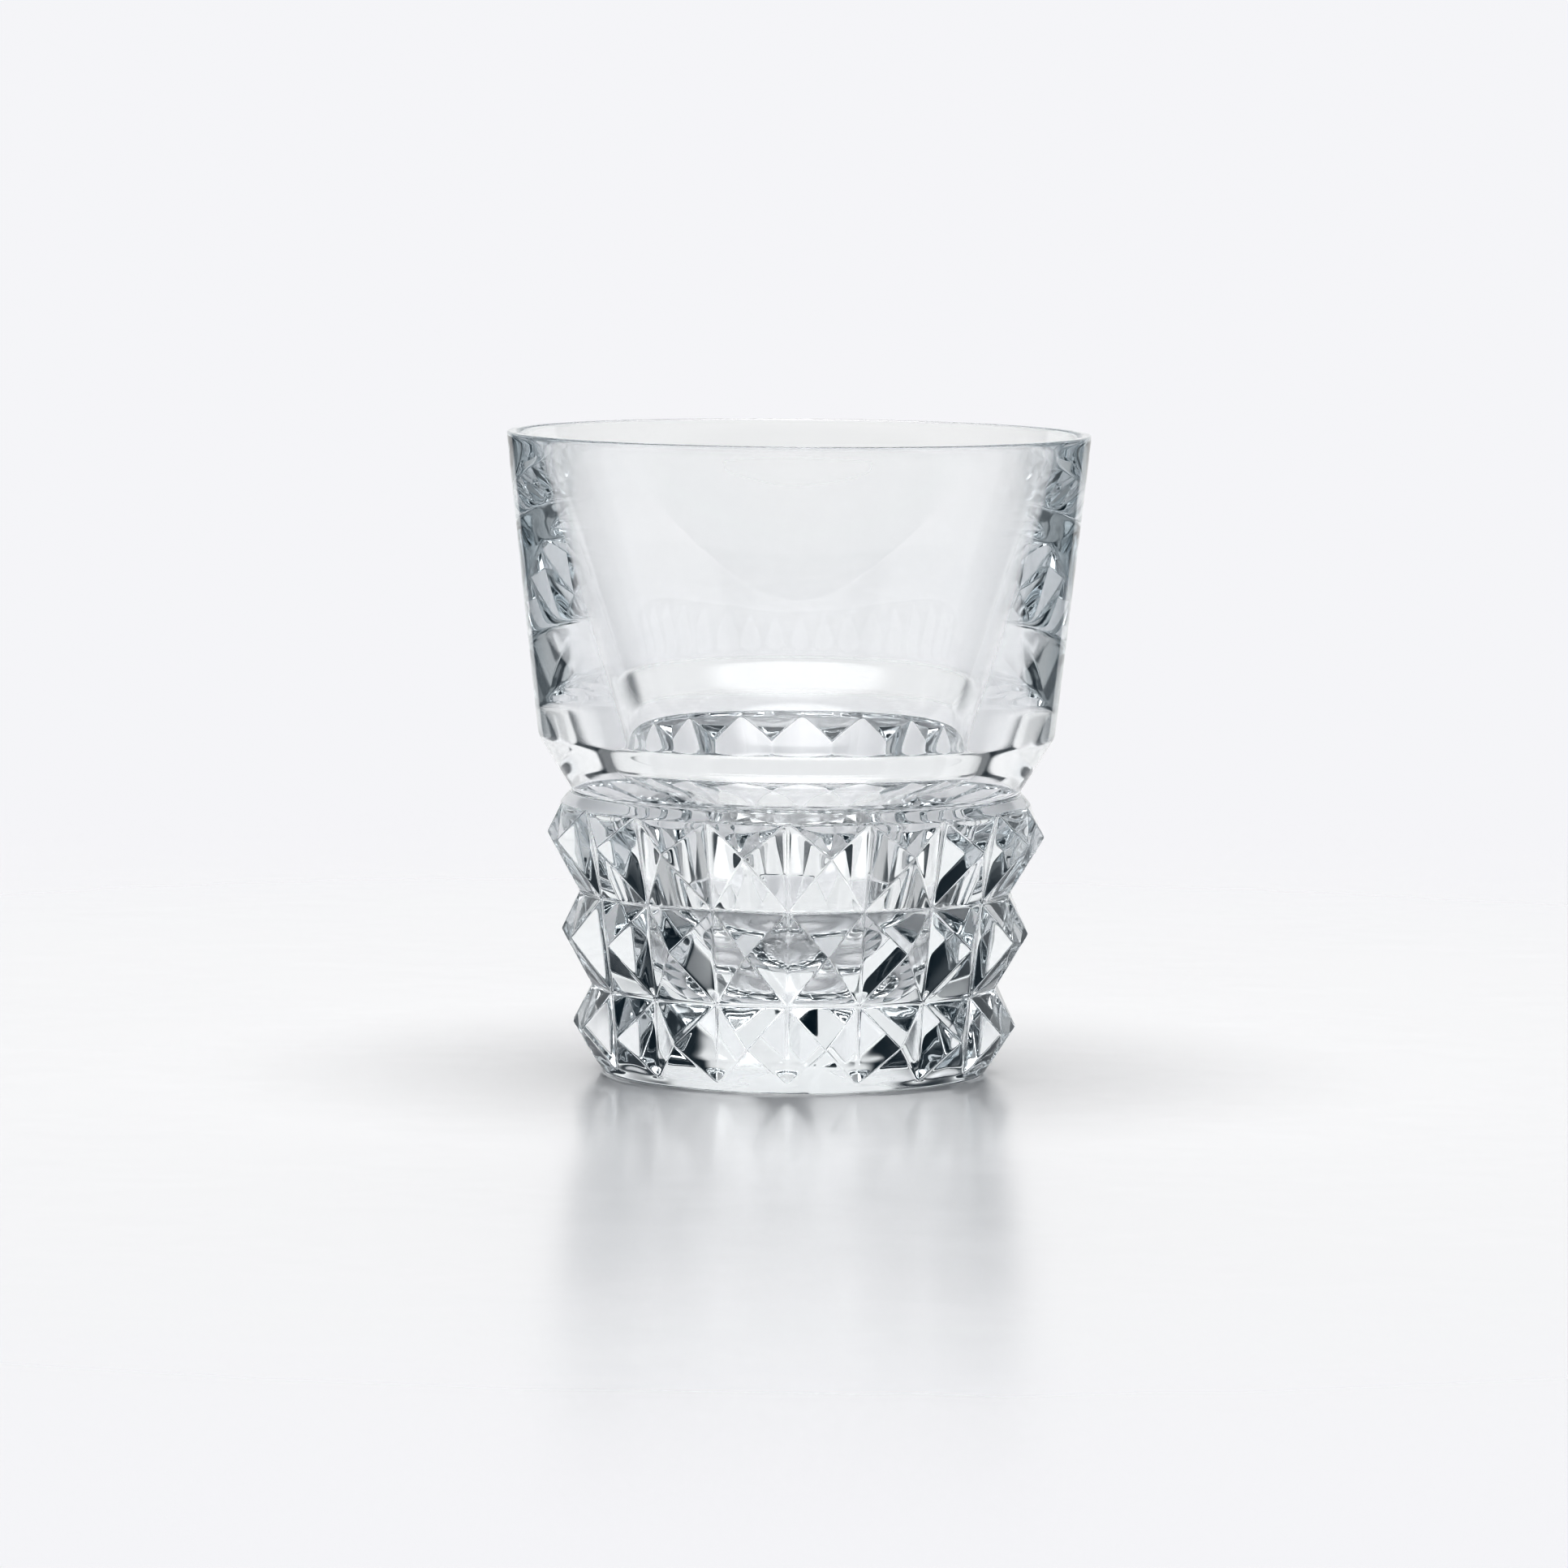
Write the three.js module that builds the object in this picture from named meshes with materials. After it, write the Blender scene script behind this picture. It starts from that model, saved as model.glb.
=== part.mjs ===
// Whiskey tumbler: one piece of pressed and polished crystal glass.
//
// A heavy base carries three rows of four-sided pyramids, cut like diamonds, all in line.
// A smooth waist parts them from the plain cup, which flares up to a rounded drinking lip.
// One hollow runs down from the lip: a tapered cup, a short funnel behind the waist, and a
// narrower well with a round bottom inside the base. The glass is a single closed body, in
// millimetres, +Z up, with the origin at the middle of the foot that it stands on.

import * as THREE from 'three';

// ---- Driving dimensions ------------------------------------------------------------------

// Overall sizes.
const height = 97.8;
const rimRadius = 44.6;
const footRadius = 29.3;

// The waist, and the shoulder of the plain cup that overhangs it.
const waistRadius = 34.2;
const shoulderOverhang = 5.3;
const shoulderRise = 8.4;

// The hollow. Its corners are where the cup's inner wall meets the funnel, where the funnel
// meets the well, and where the well's wall would meet its floor if it weren't rounded.
const lipThickness = 1.5;
const cupFootRadius = 27.0;
const cupFootHeight = 48.7;
const wellTopRadius = 20.3;
const wellTopHeight = 41.5;
const wellFloorRadius = 16.0;
const floorThickness = 17.5;

// Rounded edges. The lip's two rounds share the top of its wall.
const lipRound = Math.min(1.0, 0.48 * lipThickness);
const shoulderRound = 1.2;
const waistRound = 0.8;
const cupFootRound = 12.0;
const wellTopRound = 8.0;
const floorRound = 12.0;

// The rows of diamonds, from the foot up. A row's points rise from its lower groove to pointRise
// and stand out by pointDepth from the straight taper between foot and waist. The groove on top
// of a row stands out from that taper by grooveSwell.
const diamondsAround = 18;
const rows = [
  { height: 13.4, pointRise: 7.1, pointDepth: 3.9, grooveSwell: 0.45 },
  { height: 14.35, pointRise: 7.9, pointDepth: 4.1, grooveSwell: 0.75 },
  { height: 15.35, pointRise: 8.45, pointDepth: 4.7, grooveSwell: 0 },
];

// The plain bands that part the diamonds from the foot and from the waist.
const footBandHeight = 1.35;
const waistBandDrop = 1.7;
const waistBandOutset = 1.8;

// How finely round stretches are divided.
const stepsPerDiamond = 4;
const stepsPerRound = 4;

// ---- Derived values ----------------------------------------------------------------------

const stepsAround = diamondsAround * stepsPerDiamond;
const halfDiamond = Math.PI / diamondsAround;
const waistHeight = rows.reduce((total, row) => total + row.height, 0);
const shoulderRadius = waistRadius + shoulderOverhang;
const shoulderHeight = waistHeight + shoulderRise;
const waistBand = { radius: waistRadius + waistBandOutset, height: waistHeight - waistBandDrop };

// The radius at a height on the straight taper between foot and waist.
function taperRadius(level) {
  return footRadius + ((waistRadius - footRadius) * level) / waistHeight;
}

// Where each row's points stick out, and the groove on top of it.
const points = [];
const grooves = [];
rows.reduce((bottom, row) => {
  const level = bottom + row.pointRise;
  const top = bottom + row.height;
  points.push({ radius: taperRadius(level) + row.pointDepth, height: level });
  grooves.push({ radius: taperRadius(top) + row.grooveSwell, height: top });
  return top;
}, 0);

// The plain band at the foot leans as the bottom diamonds' lower faces do.
const footLean = (points[0].radius - footRadius) / points[0].height;
const footBand = { radius: footRadius + footLean * footBandHeight, height: footBandHeight };

// ---- A surface of shared points and triangles ----------------------------------------------

class Surface {
  constructor() {
    this.points = [];
    this.triangles = [];
  }

  // Adds a point at a radius, an angle from the front (-Y) towards +X, and a height.
  addPoint(radius, angle, level) {
    this.points.push(radius * Math.sin(angle), -radius * Math.cos(angle), level);
    return this.points.length / 3 - 1;
  }

  // Adds a level ring of evenly spaced points and returns their numbers.
  addRing(radius, level, count) {
    const ring = [];
    for (let i = 0; i < count; i += 1) {
      ring.push(this.addPoint(radius, (2 * Math.PI * i) / count, level));
    }
    return ring;
  }

  // Joins a point to each edge of an outline, which runs anticlockwise seen from outside.
  addFan(centre, outline) {
    outline.forEach((point, i) => {
      this.triangles.push(point, outline[(i + 1) % outline.length], centre);
    });
  }

  // Joins two rings of equal count by a band of triangles.
  addBand(lower, upper) {
    lower.forEach((point, i) => {
      const next = (i + 1) % lower.length;
      this.triangles.push(point, lower[next], upper[next]);
      this.triangles.push(point, upper[next], upper[i]);
    });
  }

  toGeometry() {
    const geometry = new THREE.BufferGeometry();
    geometry.setAttribute('position', new THREE.Float32BufferAttribute(this.points, 3));
    geometry.setIndex(this.triangles);
    geometry.computeVertexNormals();
    return geometry;
  }
}

// ---- Outline of the plain cup ----------------------------------------------------------------

// Replaces a corner of an outline by an arc that touches both of its sides.
function roundCorner(before, corner, after, radius) {
  const toBefore = before.clone().sub(corner).normalize();
  const toAfter = after.clone().sub(corner).normalize();
  const halfAngle = toBefore.angleTo(toAfter) / 2;
  const centre = toBefore.clone().add(toAfter).normalize();
  centre.multiplyScalar(radius / Math.sin(halfAngle)).add(corner);
  const reach = radius / Math.tan(halfAngle);
  const start = toBefore.multiplyScalar(reach).add(corner).sub(centre);
  const end = toAfter.multiplyScalar(reach).add(corner).sub(centre);
  const turn = Math.atan2(start.cross(end), start.dot(end));
  const arc = [];
  for (let i = 0; i <= stepsPerRound; i += 1) {
    const point = start.clone().rotateAround(new THREE.Vector2(), (turn * i) / stepsPerRound);
    arc.push(point.add(centre));
  }
  return arc;
}

// The cup's outline, from the plain band over the diamonds, round the lip, to the well's floor.
function cupOutline() {
  const corners = [
    { at: new THREE.Vector2(waistBand.radius, waistBand.height), round: 0 },
    { at: new THREE.Vector2(waistRadius, waistHeight), round: waistRound },
    { at: new THREE.Vector2(shoulderRadius, shoulderHeight), round: shoulderRound },
    { at: new THREE.Vector2(rimRadius, height), round: lipRound },
    { at: new THREE.Vector2(rimRadius - lipThickness, height), round: lipRound },
    { at: new THREE.Vector2(cupFootRadius, cupFootHeight), round: cupFootRound },
    { at: new THREE.Vector2(wellTopRadius, wellTopHeight), round: wellTopRound },
    { at: new THREE.Vector2(wellFloorRadius, floorThickness), round: floorRound },
    { at: new THREE.Vector2(0, floorThickness), round: 0 },
  ];
  const outline = [corners[0].at];
  for (let i = 1; i < corners.length - 1; i += 1) {
    const before = corners[i - 1].at;
    const after = corners[i + 1].at;
    outline.push(...roundCorner(before, corners[i].at, after, corners[i].round));
  }
  return outline;
}

// ---- The diamonds ----------------------------------------------------------------------------

// The points of one ring from one diamond's left corner to its right corner.
function edgeOfDiamond(ring, diamond) {
  const steps = ring.length / diamondsAround;
  const edge = [];
  for (let i = 0; i <= steps; i += 1) {
    edge.push(ring[(diamond * steps + i) % ring.length]);
  }
  return edge;
}

// Adds one row of pyramids between two rings.
function addDiamonds(surface, lower, upper, peak) {
  for (let diamond = 0; diamond < diamondsAround; diamond += 1) {
    const middle = halfDiamond * (2 * diamond + 1);
    const point = surface.addPoint(peak.radius, middle, peak.height);
    const lowerEdge = edgeOfDiamond(lower, diamond);
    const upperEdge = edgeOfDiamond(upper, diamond).reverse();
    surface.addFan(point, [...lowerEdge, ...upperEdge]);
  }
}

// ---- The whole glass ---------------------------------------------------------------------------

function tumblerGeometry() {
  const surface = new Surface();

  // Level rings, from the foot up, with a row of diamonds between each two of diamondRings.
  const foot = surface.addRing(footRadius, 0, stepsAround);
  const cup = cupOutline().map((point) => surface.addRing(point.x, point.y, stepsAround));
  const diamondRings = [
    surface.addRing(footBand.radius, footBand.height, stepsAround),
    ...grooves.slice(0, -1).map((groove) => {
      return surface.addRing(groove.radius, groove.height, diamondsAround);
    }),
    cup[0],
  ];

  surface.addFan(surface.addPoint(0, 0, 0), [...foot].reverse());
  surface.addBand(foot, diamondRings[0]);
  points.forEach((peak, row) => {
    addDiamonds(surface, diamondRings[row], diamondRings[row + 1], peak);
  });
  for (let i = 1; i < cup.length; i += 1) {
    surface.addBand(cup[i - 1], cup[i]);
  }
  surface.addFan(surface.addPoint(0, 0, floorThickness), cup[cup.length - 1]);

  return surface.toGeometry();
}

const crystal = new THREE.MeshStandardMaterial({
  name: 'crystal',
  color: 0xe9eef1,
  roughness: 0.02,
  metalness: 0,
  transparent: true,
  opacity: 0.35,
  flatShading: true,
});

const crystalTumbler = new THREE.Mesh(tumblerGeometry(), crystal);
crystalTumbler.name = 'crystal_tumbler';

const tumbler = new THREE.Group();
tumbler.name = 'whiskey_tumbler';
tumbler.add(crystalTumbler);

export default tumbler;
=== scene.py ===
"""Visual model of a whiskey tumbler in clear crystal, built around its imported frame.

The glass is one piece: a plain flared cup over a waist, and a thick base carved in three rows
of pointed diamonds, with a narrower well inside it. Its fine surface grows from a coarse cage
by subdivision, so that facets stay flat while ridges, grooves, lip and foot come out softly
fire-polished. All lengths are in metres, in the frame's own axes.
"""

import logging
import math
from dataclasses import dataclass
from enum import Enum
from typing import Union

import bpy
from mathutils import Euler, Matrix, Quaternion, Vector


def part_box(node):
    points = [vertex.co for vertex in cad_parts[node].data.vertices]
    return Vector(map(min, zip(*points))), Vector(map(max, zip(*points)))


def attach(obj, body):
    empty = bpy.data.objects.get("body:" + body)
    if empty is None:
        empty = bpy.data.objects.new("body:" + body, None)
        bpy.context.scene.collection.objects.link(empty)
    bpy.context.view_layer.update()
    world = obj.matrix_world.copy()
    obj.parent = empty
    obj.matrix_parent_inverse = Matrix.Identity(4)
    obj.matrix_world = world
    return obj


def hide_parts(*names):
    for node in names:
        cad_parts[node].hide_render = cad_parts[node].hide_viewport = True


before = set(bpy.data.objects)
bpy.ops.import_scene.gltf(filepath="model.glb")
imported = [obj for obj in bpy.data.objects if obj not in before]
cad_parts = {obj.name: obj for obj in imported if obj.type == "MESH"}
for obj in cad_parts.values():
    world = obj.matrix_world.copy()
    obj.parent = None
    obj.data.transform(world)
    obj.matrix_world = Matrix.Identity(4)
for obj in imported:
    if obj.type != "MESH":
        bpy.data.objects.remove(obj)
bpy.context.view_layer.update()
NODE = "crystal_tumbler"
MM = 0.001

# How far subdivision draws the lip in from its control corner.
LIP_DRAW_IN = 0.08 * MM

# Two edges of a facet that meet at less than this sine run straight on.
STRAIGHT_SINE = math.sin(math.radians(20.0))

# Turns in degrees, for the directions of light panels.
FULL_TURN = 360.0
HALF_TURN = 180.0

# What a node's input takes: another node's socket, a number or a colour.
Feed = Union[bpy.types.NodeSocket, float, tuple[float, ...]]

log = logging.getLogger("tumbler")


# ---- Shape ---------------------------------------------------------------------------------


class Neighbour(Enum):
    """A corner's neighbour along an outline."""

    BEFORE = -1
    AFTER = 1


@dataclass(frozen=True)
class Level:
    """A level circle round the glass's axis."""

    radius: float
    height: float

    def point(self) -> Vector:
        """Gives the circle as a point of the glass's outline.

        Returns:
            A vector of radius and height.
        """
        return Vector((self.radius, self.height))


@dataclass(frozen=True)
class Corner(Level):
    """A corner of the outline, softened over a reach along both of its sides."""

    reach: float = 0.0


@dataclass(frozen=True)
class Bend(Level):
    """A corner of the hollow, rounded by an arc."""

    rounding: float = 0.0


@dataclass(frozen=True)
class Edge:
    """An edge of a facet: how wide a strip runs inside it, and how near its ends it is held."""

    margin: float
    start_reach: float = 0.0
    end_reach: float = 0.0


class Cage:
    """A coarse control mesh that subdivision turns into the fine glass surface.

    Even columns lie on the valleys between the diamonds and odd ones on their points.
    """

    def __init__(self, columns: int) -> None:
        """Starts an empty cage.

        Args:
            columns: How many columns stand round the glass.
        """
        self.columns = columns
        self.points: list[Vector] = []
        self.faces: list[list[int]] = []
        self.edge_points: dict[tuple[int, int], int] = {}

    @property
    def spread(self) -> float:
        """How many times wider a ring of control points is than the circle that it makes."""
        return 3.0 / (2.0 + math.cos(2.0 * math.pi / self.columns))

    def add_point(self, point: Vector) -> int:
        """Adds a point.

        Args:
            point: Where it is.

        Returns:
            Its number.
        """
        self.points.append(point)
        return len(self.points) - 1

    def place(self, radius: float, column: int, height: float) -> Vector:
        """Gives a place on a column.

        Args:
            radius: Distance from the glass's axis.
            column: The column, counted from the front towards +X.
            height: Height over the foot.

        Returns:
            The place.
        """
        angle = 2.0 * math.pi * column / self.columns
        return Vector((radius * math.sin(angle), -radius * math.cos(angle), height))

    def add_ring(self, even_radius: float, height: float, odd_radius: float = 0.0) -> list[int]:
        """Adds a level ring of points, one on each column.

        Args:
            even_radius: The radius on the even columns.
            height: The ring's height.
            odd_radius: The radius on the odd columns, where it differs.

        Returns:
            The points' numbers.
        """
        radii = (even_radius, odd_radius or even_radius)
        return [
            self.add_point(self.place(radii[column % 2], column, height))
            for column in range(self.columns)
        ]

    def add_band(self, lower: list[int], upper: list[int]) -> None:
        """Joins two rings by a band of faces.

        Args:
            lower: The ring that comes first along the outline.
            upper: The ring after it.
        """
        for here in range(len(lower)):
            after = (here + 1) % len(lower)
            self.faces.append([lower[here], lower[after], upper[after], upper[here]])

    def add_edge_point(self, near: int, far: int, reach: float) -> int:
        """Gives the point on an edge that lies a reach from one of its ends.

        Args:
            near: The end that the point lies near.
            far: The other end.
            reach: How far from the near end it lies; 0 gives the end itself.

        Returns:
            The point's number. Facets that share the edge share the point.
        """
        if not reach:
            return near
        if (near, far) not in self.edge_points:
            along = (self.points[far] - self.points[near]).normalized()
            self.edge_points[near, far] = self.add_point(self.points[near] + along * reach)
        return self.edge_points[near, far]

    @staticmethod
    def inset_corner(corners: list[Vector], edges: list[Edge], here: int) -> Vector:
        """Gives the place inside a facet's corner where the strips along its two edges meet.

        Args:
            corners: The facet's corners.
            edges: The edge that follows each corner.
            here: Which corner it is.

        Returns:
            The place. Where the edges run straight on, it lies towards the opposite corner.
        """
        count = len(corners)
        corner = corners[here]
        back = (corners[here - 1] - corner).normalized()
        ahead = (corners[(here + 1) % count] - corner).normalized()
        sine = back.cross(ahead).length
        if sine > STRAIGHT_SINE:
            return corner + (ahead * edges[here - 1].margin + back * edges[here].margin) / sine
        opposite = corners[(here + 2) % count]
        return corner + (opposite - corner).normalized() * edges[here].margin

    def add_facet(self, outline: list[int], edges: list[Edge], swell: float) -> None:
        """Adds a facet: a strip of its own width inside each edge, round a swollen middle.

        Args:
            outline: The facet's points, anticlockwise seen from outside.
            edges: The edge that follows each point.
            swell: How far the facet's middle stands proud of its plane.
        """
        corners = [self.points[number] for number in outline]
        count = len(corners)
        inner, starts, ends = [], [], []
        for here, edge in enumerate(edges):
            after = (here + 1) % count
            inner.append(self.add_point(self.inset_corner(corners, edges, here)))
            starts.append(self.add_edge_point(outline[here], outline[after], edge.start_reach))
            ends.append(self.add_edge_point(outline[after], outline[here], edge.end_reach))
        for here in range(count):
            after = (here + 1) % count
            self.faces.append([starts[here], ends[here], inner[after], inner[here]])
            kite = list(dict.fromkeys([outline[here], starts[here], inner[here], ends[here - 1]]))
            if len(kite) > 2:
                self.faces.append(kite)
        middle = sum((self.points[number] for number in inner), Vector()) / count
        normal = (corners[1] - corners[0]).cross(corners[-1] - corners[0]).normalized()
        centre = self.add_point(middle + normal * swell)
        for here in range(count):
            self.faces.append([inner[here], inner[(here + 1) % count], centre])

    def to_mesh(self, name: str) -> bpy.types.Mesh:
        """Makes a mesh of the cage.

        Args:
            name: The mesh's name.

        Returns:
            The mesh.
        """
        mesh = bpy.data.meshes.new(name)
        mesh.from_pydata([tuple(point) for point in self.points], [], self.faces)
        mesh.validate()
        return mesh


@dataclass(frozen=True)
class TumblerBody:
    """The glass: foot, diamonds, waist, shoulder, cup wall, lip and the hollow inside."""

    height: float
    rim_radius: float
    foot_radius: float = 29.3 * MM
    foot_inset: float = 3.0 * MM
    foot_reach: float = 0.6 * MM
    foot_band_height: float = 1.35 * MM
    waist_radius: float = 34.2 * MM
    waist_height: float = 43.1 * MM
    waist_reach: float = 0.9 * MM
    waist_band_drop: float = 1.7 * MM
    waist_band_outset: float = 1.8 * MM
    shoulder_overhang: float = 5.3 * MM
    shoulder_rise: float = 8.4 * MM
    shoulder_reach: float = 1.3 * MM
    lip_thickness: float = 1.5 * MM
    lip_reach: float = 0.65 * MM
    hollow: tuple[Bend, ...] = (
        Bend(27.0 * MM, 48.7 * MM, 12.0 * MM),
        Bend(20.3 * MM, 41.5 * MM, 8.0 * MM),
        Bend(16.0 * MM, 17.5 * MM, 12.0 * MM),
    )
    arc_steps: int = 4
    diamonds_around: int = 18
    grooves: tuple[Level, ...] = (
        Level(31.25 * MM, 13.4 * MM),
        Level(33.2 * MM, 27.75 * MM),
    )
    peaks: tuple[Level, ...] = (
        Level(34.0 * MM, 7.1 * MM),
        Level(35.8 * MM, 21.3 * MM),
        Level(38.1 * MM, 36.2 * MM),
    )
    ridge_margin: float = 0.32 * MM
    groove_margin: float = 0.5 * MM
    peak_reach: float = 0.45 * MM
    corner_reach: float = 0.85 * MM
    facet_swell: float = 0.01 * MM
    fineness: int = 3

    @property
    def band_tip(self) -> Level:
        """The edge where the plain band under the waist meets the top row of diamonds."""
        return Level(
            self.waist_radius + self.waist_band_outset, self.waist_height - self.waist_band_drop
        )

    def build(self, material: bpy.types.Material) -> bpy.types.Object:
        """Builds the whole glass.

        Args:
            material: What it is made of.

        Returns:
            The glass, in the scene.
        """
        coarse = bpy.data.objects.new("tumbler_cage", self.cage().to_mesh("tumbler_cage"))
        bpy.context.scene.collection.objects.link(coarse)
        soften = coarse.modifiers.new("soften", "SUBSURF")
        soften.levels = self.fineness
        soften.render_levels = self.fineness
        soften.use_limit_surface = True
        soften.uv_smooth = "NONE"
        evaluated = coarse.evaluated_get(bpy.context.evaluated_depsgraph_get())
        fine = bpy.data.meshes.new_from_object(evaluated)
        fine.name = "tumbler_glass"
        bpy.data.objects.remove(coarse)
        fine.shade_smooth()
        fine.materials.clear()
        fine.materials.append(material)
        glass = bpy.data.objects.new("tumbler_glass", fine)
        bpy.context.scene.collection.objects.link(glass)
        return glass

    def cage(self) -> Cage:
        """Lays out the control mesh.

        Returns:
            The cage.
        """
        cage = Cage(2 * self.diamonds_around)
        foot = self.foot_rings(cage)
        cup = [
            cage.add_ring(point.x * cage.spread, point.y) for point in self.cup_outline()[1:]
        ]
        flat = math.cos(math.pi / self.diamonds_around)
        tips = cage.add_ring(self.band_tip.radius, self.band_tip.height)
        grooves = [
            cage.add_ring(groove.radius, groove.height, groove.radius * flat)
            for groove in self.grooves
        ]
        rings = [foot[-1], *grooves, tips]
        cage.faces.append(list(reversed(foot[0])))
        for lower, upper in zip(foot, foot[1:]):
            cage.add_band(lower, upper)
        for row in range(len(self.peaks)):
            self.add_diamonds(cage, rings, row)
        for lower, upper in zip([tips, *cup], cup):
            cage.add_band(lower, upper)
        cage.faces.append(cup[-1])
        return cage

    def foot_rings(self, cage: Cage) -> list[list[int]]:
        """Adds the rings of the foot, from its flat underside to the first diamonds.

        Args:
            cage: The cage that they join.

        Returns:
            The rings, from the inside out and up.
        """
        lean = (self.peaks[0].radius - self.foot_radius) / self.peaks[0].height
        outline = soften_outline(
            [
                Corner(self.foot_radius - self.foot_inset, 0.0),
                Corner(self.foot_radius, 0.0, self.foot_reach),
                Corner(self.foot_radius + lean * self.foot_band_height, self.foot_band_height),
            ]
        )
        return [cage.add_ring(point.x * cage.spread, point.y) for point in outline]

    def cup_outline(self) -> list[Vector]:
        """Gives the cup's outline, from the band over the diamonds to the well's floor.

        Returns:
            Points of radius and height.
        """
        shoulder_radius = self.waist_radius + self.shoulder_overhang
        shoulder_height = self.waist_height + self.shoulder_rise
        lip = Vector((self.rim_radius - self.lip_thickness, self.height))
        outside = soften_outline(
            [
                Corner(self.band_tip.radius, self.band_tip.height),
                Corner(self.waist_radius, self.waist_height, self.waist_reach),
                Corner(shoulder_radius, shoulder_height, self.shoulder_reach),
                Corner(self.rim_radius, self.height, self.lip_reach),
                Corner(lip.x, lip.y, self.lip_reach),
                Corner(self.hollow[0].radius, self.hollow[0].height),
            ]
        )
        bends = [bend.point() for bend in self.hollow]
        path = [lip, *bends, Vector((0.0, bends[-1].y))]
        inside = []
        for here, bend in enumerate(self.hollow, 1):
            inside += round_corner(
                path[here - 1], path[here], path[here + 1], bend.rounding, self.arc_steps
            )
        return [*outside[:-1], *inside, inside[-1].lerp(path[-1], 0.5)]

    def add_diamonds(self, cage: Cage, rings: list[list[int]], row: int) -> None:
        """Adds one row of diamonds between two rings.

        The bottom row runs on into the plain band of the foot, and the top row into the waist's.

        Args:
            cage: The cage that they join.
            rings: The rings between the rows, from the foot up.
            row: Which row it is, from the foot up.
        """
        lower, upper = rings[row], rings[row + 1]
        below = 0.0 if row == 0 else self.corner_reach
        above = 0.0 if row == len(self.peaks) - 1 else self.corner_reach
        up = Edge(self.ridge_margin, self.corner_reach, self.peak_reach)
        down = Edge(self.ridge_margin, self.peak_reach, self.corner_reach)
        valley = Edge(self.groove_margin, self.corner_reach, self.corner_reach)
        lower_edges = [Edge(self.groove_margin, below), Edge(self.groove_margin, 0.0, below)]
        upper_edges = [Edge(self.groove_margin, above), Edge(self.groove_margin, 0.0, above)]
        for left in range(0, cage.columns, 2):
            middle, right = left + 1, (left + 2) % cage.columns
            peak = cage.add_point(
                cage.place(self.peaks[row].radius, middle, self.peaks[row].height)
            )
            sides = [
                ([lower[left], lower[middle], lower[right], peak], [*lower_edges, up, down]),
                ([lower[right], upper[right], peak], [valley, up, down]),
                ([upper[right], upper[middle], upper[left], peak], [*upper_edges, up, down]),
                ([upper[left], lower[left], peak], [valley, up, down]),
            ]
            for outline, edges in sides:
                cage.add_facet(outline, edges, self.facet_swell)


def round_corner(
    before: Vector, corner: Vector, after: Vector, radius: float, steps: int
) -> list[Vector]:
    """Rounds a corner of an outline.

    Args:
        before: The outline's point before the corner.
        corner: The corner.
        after: The point after it.
        radius: The rounding's radius.
        steps: How many steps its arc takes.

    Returns:
        The points of the arc.
    """
    back, ahead = (before - corner).normalized(), (after - corner).normalized()
    half = back.angle(ahead) / 2
    middle = corner + (back + ahead).normalized() * radius / math.sin(half)
    start, end = corner + back * radius / math.tan(half), corner + ahead * radius / math.tan(half)
    first, last = start - middle, end - middle
    turn = first.angle(last)
    return [
        middle
        + (first * math.sin(turn * (1 - step / steps)) + last * math.sin(turn * step / steps))
        / math.sin(turn)
        for step in range(steps + 1)
    ]


def soften_outline(corners: list[Corner]) -> list[Vector]:
    """Gives an outline's control points, with two more beside each softened corner.

    Args:
        corners: The outline's corners.

    Returns:
        Points of radius and height.
    """
    points = []
    for here, corner in enumerate(corners):
        if not corner.reach:
            points.append(corner.point())
            continue
        beside = []
        for neighbour in Neighbour:
            away = (corners[here + neighbour.value].point() - corner.point()).normalized()
            beside.append(corner.point() + away * corner.reach)
        points += [beside[0], corner.point(), beside[1]]
    return points


# ---- Shader nodes ----------------------------------------------------------------------------


def feed(tree: bpy.types.NodeTree, socket: bpy.types.NodeSocket, value: Feed) -> None:
    """Feeds a node's input.

    Args:
        tree: The node's tree.
        socket: The input.
        value: The socket to link to it, or the plain value to set it to.
    """
    if isinstance(value, bpy.types.NodeSocket):
        tree.links.new(value, socket)
    else:
        socket.default_value = value


def add_math(
    tree: bpy.types.NodeTree, operation: str, first: Feed, second: Feed = 0.0
) -> bpy.types.NodeSocket:
    """Adds one sum to a node tree.

    Args:
        tree: The tree.
        operation: The sum, as the math node names it.
        first: A socket or a number.
        second: A socket or a number.

    Returns:
        The result's socket.
    """
    node = tree.nodes.new("ShaderNodeMath")
    node.operation = operation
    feed(tree, node.inputs[0], first)
    feed(tree, node.inputs[1], second)
    return node.outputs["Value"]


def add_range(
    tree: bpy.types.NodeTree, value: bpy.types.NodeSocket, ends: tuple[Feed, Feed, Feed, Feed]
) -> bpy.types.NodeSocket:
    """Adds a smooth step from one range of values to another.

    Args:
        tree: The tree.
        value: The value.
        ends: Where the value starts and ends, and what the result is there; sockets or numbers.

    Returns:
        The result's socket.
    """
    node = tree.nodes.new("ShaderNodeMapRange")
    node.interpolation_type = "SMOOTHSTEP"
    feed(tree, node.inputs["Value"], value)
    for label, end in zip(("From Min", "From Max", "To Min", "To Max"), ends):
        feed(tree, node.inputs[label], end)
    return node.outputs["Result"]


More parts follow.
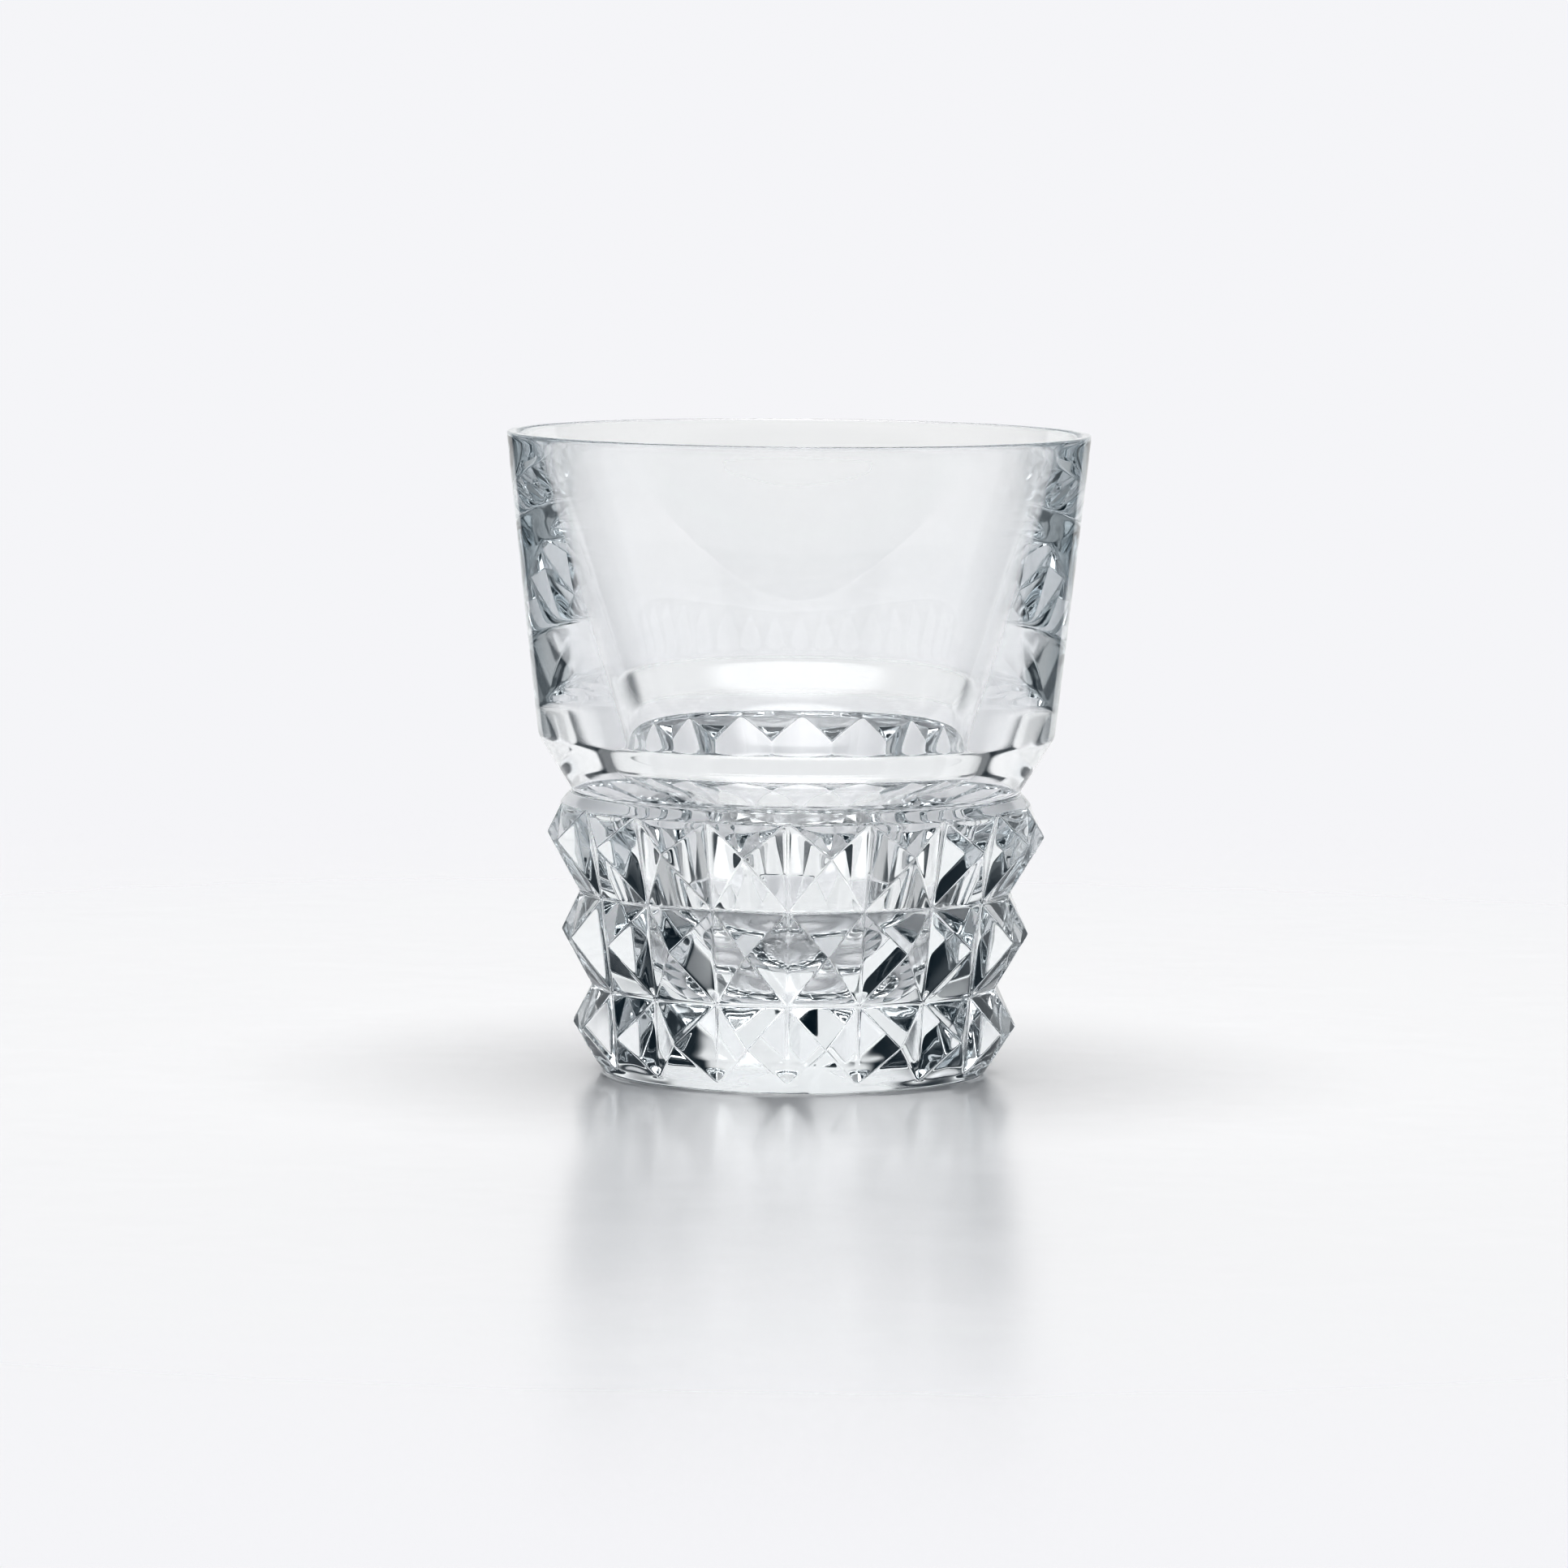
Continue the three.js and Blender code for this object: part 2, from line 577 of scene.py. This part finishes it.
def add_color_mix(
    tree: bpy.types.NodeTree, factor: bpy.types.NodeSocket, first: Feed, second: Feed
) -> bpy.types.NodeSocket:
    """Adds a blend of two colours.

    Args:
        tree: The tree.
        factor: How much of the second colour shows, from 0 to 1.
        first: A socket or a colour.
        second: A socket or a colour.

    Returns:
        The blend's socket.
    """
    node = tree.nodes.new("ShaderNodeMix")
    node.data_type = "RGBA"
    feed(tree, node.inputs[0], factor)
    feed(tree, next(socket for socket in node.inputs if socket.identifier == "A_Color"), first)
    feed(tree, next(socket for socket in node.inputs if socket.identifier == "B_Color"), second)
    return next(socket for socket in node.outputs if socket.identifier == "Result_Color")


def add_noise(tree: bpy.types.NodeTree, settings: dict[str, Feed]) -> bpy.types.NodeSocket:
    """Adds a noise texture.

    Args:
        tree: The tree.
        settings: What feeds each of its inputs, by the input's name.

    Returns:
        The noise's socket.
    """
    node = tree.nodes.new("ShaderNodeTexNoise")
    for label, value in settings.items():
        feed(tree, node.inputs[label], value)
    return node.outputs["Fac"]


def add_bump(
    tree: bpy.types.NodeTree, height: bpy.types.NodeSocket, distance: float
) -> bpy.types.NodeSocket:
    """Adds a bump to a material.

    Args:
        tree: The material's nodes.
        height: The bump's height, from 0 to 1.
        distance: How high a height of 1 is, in metres.

    Returns:
        The normal's socket.
    """
    bump = tree.nodes.new("ShaderNodeBump")
    bump.inputs["Distance"].default_value = distance
    feed(tree, bump.inputs["Height"], height)
    return bump.outputs["Normal"]


def new_group(
    name: str, inputs: dict[str, str], outputs: tuple[str, ...]
) -> tuple[bpy.types.NodeTree, bpy.types.Node, bpy.types.Node]:
    """Makes an empty shader node group.

    Args:
        name: The group's name.
        inputs: The kind of socket of each of its inputs.
        outputs: The names of its outputs, which are all plain values.

    Returns:
        The group, and the nodes that hold its inputs and its outputs.
    """
    tree = bpy.data.node_groups.new(name, "ShaderNodeTree")
    for label, kind in inputs.items():
        tree.interface.new_socket(label, in_out="INPUT", socket_type=kind)
    for label in outputs:
        tree.interface.new_socket(label, in_out="OUTPUT", socket_type="NodeSocketFloat")
    return tree, tree.nodes.new("NodeGroupInput"), tree.nodes.new("NodeGroupOutput")


# ---- Finishes --------------------------------------------------------------------------------


@dataclass(frozen=True)
class Polish:
    """How a surface's polish varies: ripples and patches to a metre, and its worst roughness."""

    ripple_scale: float
    gloss_scale: float
    poorest: float


@dataclass(frozen=True)
class PolishGroup:
    """How a polished surface falls short of perfect: a slow ripple and uneven gloss."""

    name: str = "polish"
    ripple_detail: float = 1.0
    ripple_roughness: float = 0.35
    gloss_detail: float = 4.0
    gloss_start: float = 0.42
    gloss_end: float = 0.72

    def tree(self) -> bpy.types.NodeTree:
        """Gives the node group, which is made on first use.

        Returns:
            The group: a ripple height and a roughness, from a place on the surface.
        """
        if self.name in bpy.data.node_groups:
            return bpy.data.node_groups[self.name]
        inputs = {"Vector": "NodeSocketVector"}
        for label in ("Ripple Scale", "Gloss Scale", "Roughest"):
            inputs[label] = "NodeSocketFloat"
        tree, source, result = new_group(self.name, inputs, ("Height", "Roughness"))
        value = source.outputs
        ripple = add_noise(
            tree,
            {
                "Vector": value["Vector"],
                "Scale": value["Ripple Scale"],
                "Detail": self.ripple_detail,
                "Roughness": self.ripple_roughness,
            },
        )
        feed(tree, result.inputs["Height"], ripple)
        gloss = add_noise(
            tree,
            {
                "Vector": value["Vector"],
                "Scale": value["Gloss Scale"],
                "Detail": self.gloss_detail,
            },
        )
        ends = (self.gloss_start, self.gloss_end, 0.0, value["Roughest"])
        feed(tree, result.inputs["Roughness"], add_range(tree, gloss, ends))
        return tree

    def add(
        self, tree: bpy.types.NodeTree, place: bpy.types.NodeSocket, polish: Polish
    ) -> bpy.types.Node:
        """Adds the group to a material.

        Args:
            tree: The material's nodes.
            place: The place on the surface.
            polish: How the polish varies.

        Returns:
            The group's node.
        """
        node = tree.nodes.new("ShaderNodeGroup")
        node.node_tree = self.tree()
        feed(tree, node.inputs["Vector"], place)
        feed(tree, node.inputs["Ripple Scale"], polish.ripple_scale)
        feed(tree, node.inputs["Gloss Scale"], polish.gloss_scale)
        feed(tree, node.inputs["Roughest"], polish.poorest)
        return node


@dataclass(frozen=True)
class CrystalFinish:
    """Clear polished crystal, a little wavy, with its foot worn by the tables it has stood on."""

    tint: tuple[float, float, float] = (1.0, 1.0, 1.0)
    streak_tint: tuple[float, float, float] = (0.984, 0.99, 0.995)
    depth_tint: tuple[float, float, float] = (0.78, 0.88, 0.93)
    depth_density: float = 3.0
    ior: float = 1.52
    polish: Polish = Polish(55.0, 300.0, 0.003)
    ripple_depth: float = 0.03 * MM
    worn_foot: float = 0.16
    worn_height: float = 0.25 * MM
    scuff_scale: float = 900.0
    scuff_detail: float = 3.0
    scuff_ends: tuple[float, float, float, float] = (0.45, 0.7, 0.1, 1.0)

    def build(self) -> bpy.types.Material:
        """Makes the material.

        Returns:
            The material.
        """
        material = bpy.data.materials.new("clear_crystal")
        material.use_nodes = True
        tree = material.node_tree
        glass = tree.nodes["Principled BSDF"]
        glass.inputs["IOR"].default_value = self.ior
        glass.inputs["Transmission Weight"].default_value = 1.0
        place = tree.nodes.new("ShaderNodeTexCoord").outputs["Object"]
        polish = PolishGroup().add(tree, place, self.polish)
        tint = add_color_mix(
            tree, polish.outputs["Height"], (*self.tint, 1.0), (*self.streak_tint, 1.0)
        )
        roughness = add_math(
            tree, "ADD", polish.outputs["Roughness"], self.add_wear(tree, place)
        )
        normal = add_bump(tree, polish.outputs["Height"], self.ripple_depth)
        feed(tree, glass.inputs["Base Color"], tint)
        feed(tree, glass.inputs["Roughness"], roughness)
        feed(tree, glass.inputs["Normal"], normal)
        depth = tree.nodes.new("ShaderNodeVolumeAbsorption")
        depth.inputs["Color"].default_value = (*self.depth_tint, 1.0)
        depth.inputs["Density"].default_value = self.depth_density
        feed(tree, tree.nodes["Material Output"].inputs["Volume"], depth.outputs["Volume"])
        return material

    def add_wear(
        self, tree: bpy.types.NodeTree, place: bpy.types.NodeSocket
    ) -> bpy.types.NodeSocket:
        """Adds the scuffs of the foot.

        Args:
            tree: The material's nodes.
            place: The place on the surface.

        Returns:
            The socket of the roughness that they add.
        """
        axes = tree.nodes.new("ShaderNodeSeparateXYZ")
        feed(tree, axes.inputs["Vector"], place)
        scuffs = add_noise(tree, {"Scale": self.scuff_scale, "Detail": self.scuff_detail})
        scuffed = add_range(tree, scuffs, self.scuff_ends)
        low = add_range(tree, axes.outputs["Z"], (0.0, self.worn_height, self.worn_foot, 0.0))
        return add_math(tree, "MULTIPLY", low, scuffed)


@dataclass(frozen=True)
class TableFinish:
    """Pale satin acrylic, fading away towards the table's edge."""

    color: tuple[float, float, float] = (0.96, 0.96, 0.975)
    ior: float = 1.65
    solid_radius: float = 0.13
    clear_radius: float = 0.42
    roughness: float = 0.2
    polish: Polish = Polish(14.0, 25.0, 0.03)

    def build(self) -> bpy.types.Material:
        """Makes the material.

        Returns:
            The material.
        """
        material = bpy.data.materials.new("pale_table")
        material.use_nodes = True
        tree = material.node_tree
        surface = tree.nodes["Principled BSDF"]
        surface.inputs["Base Color"].default_value = (*self.color, 1.0)
        surface.inputs["IOR"].default_value = self.ior
        place = tree.nodes.new("ShaderNodeTexCoord").outputs["Object"]
        polish = PolishGroup().add(tree, place, self.polish)
        roughness = add_math(tree, "ADD", polish.outputs["Roughness"], self.roughness)
        feed(tree, surface.inputs["Roughness"], roughness)
        away = tree.nodes.new("ShaderNodeVectorMath")
        away.operation = "LENGTH"
        feed(tree, away.inputs["Vector"], place)
        ends = (self.solid_radius, self.clear_radius, 1.0, 0.0)
        feed(tree, surface.inputs["Alpha"], add_range(tree, away.outputs["Value"], ends))
        return material


# ---- Studio ------------------------------------------------------------------------------------


@dataclass(frozen=True)
class Panel:
    """A soft-edged light panel or dark flag of the surround, by its direction from the glass.

    Angles are in degrees; azimuth runs from straight behind the glass (+Y) towards +X.
    """

    azimuth: float
    elevation: float
    width: float
    height: float
    brightness: float
    feather: float = 3.0


@dataclass(frozen=True)
class PanelGroup:
    """Where a panel of the surround lies."""

    name: str = "panel_mask"

    def tree(self) -> bpy.types.NodeTree:
        """Gives the node group, which is made on first use.

        Returns:
            The group: a mask that is 1 on the panel, from a direction's two angles.
        """
        if self.name in bpy.data.node_groups:
            return bpy.data.node_groups[self.name]
        labels = ("Azimuth", "Elevation", "At", "Up", "Width", "Height", "Feather")
        tree, source, result = new_group(
            self.name, {label: "NodeSocketFloat" for label in labels}, ("Mask",)
        )
        value = source.outputs
        turn = add_math(tree, "SUBTRACT", value["Azimuth"], value["At"])
        turn = add_math(tree, "ADD", turn, FULL_TURN + HALF_TURN)
        turn = add_math(tree, "MODULO", turn, FULL_TURN)
        turn = add_math(tree, "SUBTRACT", turn, HALF_TURN)
        rise = add_math(tree, "SUBTRACT", value["Elevation"], value["Up"])
        sides = []
        for offset, size in ((turn, value["Width"]), (rise, value["Height"])):
            half = add_math(tree, "MULTIPLY", size, 0.5)
            inner = add_math(tree, "SUBTRACT", half, value["Feather"])
            outer = add_math(tree, "ADD", half, value["Feather"])
            away = add_math(tree, "ABSOLUTE", offset)
            sides.append(add_range(tree, away, (inner, outer, 1.0, 0.0)))
        feed(tree, result.inputs["Mask"], add_math(tree, "MULTIPLY", *sides))
        return tree

    def add(
        self,
        tree: bpy.types.NodeTree,
        azimuth: bpy.types.NodeSocket,
        elevation: bpy.types.NodeSocket,
        panel: Panel,
    ) -> bpy.types.NodeSocket:
        """Adds a panel's mask to the surround.

        Args:
            tree: The surround's nodes.
            azimuth: A direction's azimuth.
            elevation: The direction's elevation.
            panel: The panel.

        Returns:
            The mask's socket.
        """
        node = tree.nodes.new("ShaderNodeGroup")
        node.node_tree = self.tree()
        settings = {
            "Azimuth": azimuth,
            "Elevation": elevation,
            "At": panel.azimuth,
            "Up": panel.elevation,
            "Width": panel.width,
            "Height": panel.height,
            "Feather": panel.feather,
        }
        for label, value in settings.items():
            feed(tree, node.inputs[label], value)
        return node.outputs["Mask"]


@dataclass(frozen=True)
class Studio:
    """Table and surrounding light. Each panel covers those before it."""

    table_size: float = 0.9
    air_gap: float = 0.15 * MM
    backdrop: tuple[float, float, float] = (0.913, 0.913, 0.93)
    shade: tuple[float, float, float] = (0.004, 0.022, 0.036)
    panels: tuple[Panel, ...] = (
        Panel(0.0, 3.0, 720.0, 30.0, 0.15),
        Panel(0.0, -6.0, 720.0, 12.0, 0.3, 2.0),
        Panel(39.0, -6.0, 28.0, 12.0, 0.0, 2.0),
        Panel(-39.0, -6.0, 28.0, 12.0, 0.0, 2.0),
        Panel(98.0, 3.0, 64.0, 30.0, 0.62),
        Panel(-98.0, 3.0, 64.0, 30.0, 0.62),
        Panel(180.0, 3.0, 60.0, 30.0, 0.45),
        Panel(0.0, 9.0, 104.0, 18.0, 0.95, 2.0),
        Panel(0.0, 14.0, 38.0, 62.0, 0.95, 3.0),
        Panel(0.0, -7.0, 48.0, 14.0, 0.93, 2.0),
        Panel(0.0, 53.5, 720.0, 17.0, 0.05),
        Panel(0.0, -52.0, 720.0, 80.0, 0.93, 2.0),
        Panel(0.0, 90.0, 720.0, 56.0, 3.7, 4.0),
    )

    def build_table(self) -> bpy.types.Object:
        """Builds the table that the glass stands on.

        Returns:
            The table.
        """
        half, drop = self.table_size / 2, -self.air_gap
        mesh = bpy.data.meshes.new("table")
        mesh.from_pydata(
            [(-half, -half, drop), (half, -half, drop), (half, half, drop), (-half, half, drop)],
            [],
            [(0, 1, 2, 3)],
        )
        table = bpy.data.objects.new("table", mesh)
        bpy.context.scene.collection.objects.link(table)
        mesh.materials.append(TableFinish().build())
        return table

    def build_light(self) -> None:
        """Lights the scene from a surround of soft panels, which the camera sees as plain."""
        world = bpy.data.worlds.new("studio")
        bpy.context.scene.world = world
        world.use_nodes = True
        tree = world.node_tree
        brightness = self.add_panels(tree)
        color = tree.nodes.new("ShaderNodeVectorMath")
        color.operation = "MULTIPLY_ADD"
        feed(tree, color.inputs[0], brightness)
        color.inputs[1].default_value = tuple(1.0 - shade for shade in self.shade)
        color.inputs[2].default_value = self.shade
        seen = tree.nodes.new("ShaderNodeLightPath").outputs["Is Camera Ray"]
        plain = add_color_mix(tree, seen, color.outputs["Vector"], (*self.backdrop, 1.0))
        feed(tree, tree.nodes["Background"].inputs["Color"], plain)

    def add_panels(self, tree: bpy.types.NodeTree) -> bpy.types.NodeSocket:
        """Lays the panels over a black surround, one after the other.

        Args:
            tree: The surround's nodes.

        Returns:
            The socket of a direction's brightness.
        """
        axes = tree.nodes.new("ShaderNodeSeparateXYZ")
        direction = tree.nodes.new("ShaderNodeTexCoord").outputs["Generated"]
        feed(tree, axes.inputs["Vector"], direction)
        across, along, up = axes.outputs["X"], axes.outputs["Y"], axes.outputs["Z"]
        azimuth = add_math(tree, "DEGREES", add_math(tree, "ARCTAN2", across, along))
        elevation = add_math(tree, "DEGREES", add_math(tree, "ARCSINE", up))
        brightness: Feed = 0.0
        for panel in self.panels:
            mask = PanelGroup().add(tree, azimuth, elevation, panel)
            rest = add_math(tree, "SUBTRACT", 1.0, mask)
            lit = add_math(tree, "MULTIPLY", mask, panel.brightness)
            brightness = add_math(tree, "MULTIPLY", rest, brightness)
            brightness = add_math(tree, "ADD", brightness, lit)
        return brightness


@dataclass(frozen=True)
class Viewpoint:
    """Where the camera stands and how it looks at the glass. Angles are in degrees."""

    distance: float = 1.2101
    azimuth: float = 1.82
    eye_height: float = 0.1573
    pitch: float = 5.352
    pan: float = 0.087
    roll: float = 0.511
    lens: float = 182.35
    sensor_width: float = 36.0

    def build(self) -> bpy.types.Object:
        """Makes the camera and gives it to the scene.

        Returns:
            The camera.
        """
        data = bpy.data.cameras.new("camera")
        data.lens = self.lens
        data.sensor_width = self.sensor_width
        camera = bpy.data.objects.new("camera", data)
        bpy.context.scene.collection.objects.link(camera)
        turn = math.radians(self.azimuth)
        camera.location = (
            self.distance * math.sin(turn),
            -self.distance * math.cos(turn),
            self.eye_height,
        )
        aim = Euler((math.radians(90.0 - self.pitch), 0.0, math.radians(self.azimuth + self.pan)))
        tilt = Quaternion((0.0, 0.0, 1.0), math.radians(self.roll))
        camera.rotation_mode = "QUATERNION"
        camera.rotation_quaternion = aim.to_quaternion() @ tilt
        bpy.context.scene.camera = camera
        return camera


@dataclass(frozen=True)
class Picture:
    """How light becomes a picture, and how often it may bounce on its way through the glass."""

    view_transform: str = "Standard"
    exposure: float = 0.044
    gamma: float = 0.66
    bounces: int = 32

    def apply(self) -> None:
        """Gives the settings to the scene."""
        scene = bpy.context.scene
        scene.view_settings.view_transform = self.view_transform
        scene.view_settings.exposure = self.exposure
        scene.view_settings.gamma = self.gamma
        scene.cycles.max_bounces = self.bounces
        scene.cycles.transmission_bounces = self.bounces
        scene.cycles.glossy_bounces = self.bounces


def main() -> None:
    """Builds the glass and its studio."""
    logging.basicConfig(level=logging.INFO, format="%(message)s")
    low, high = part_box(NODE)
    body = TumblerBody(
        height=high[2] - low[2], rim_radius=(high[0] - low[0]) / 2 + LIP_DRAW_IN
    )
    glass = body.build(CrystalFinish().build())
    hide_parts(NODE)
    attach(glass, "root")
    log.info("glass: %d faces, %d diamonds", len(glass.data.polygons), body.diamonds_around)
    studio = Studio()
    studio.build_table()
    log.info("table: %.1f m square", studio.table_size)
    studio.build_light()
    log.info("light: %d panels", len(studio.panels))
    viewpoint = Viewpoint()
    viewpoint.build()
    log.info("camera: %.2f m away", viewpoint.distance)
    Picture().apply()


if __name__ == "__main__":
    main()
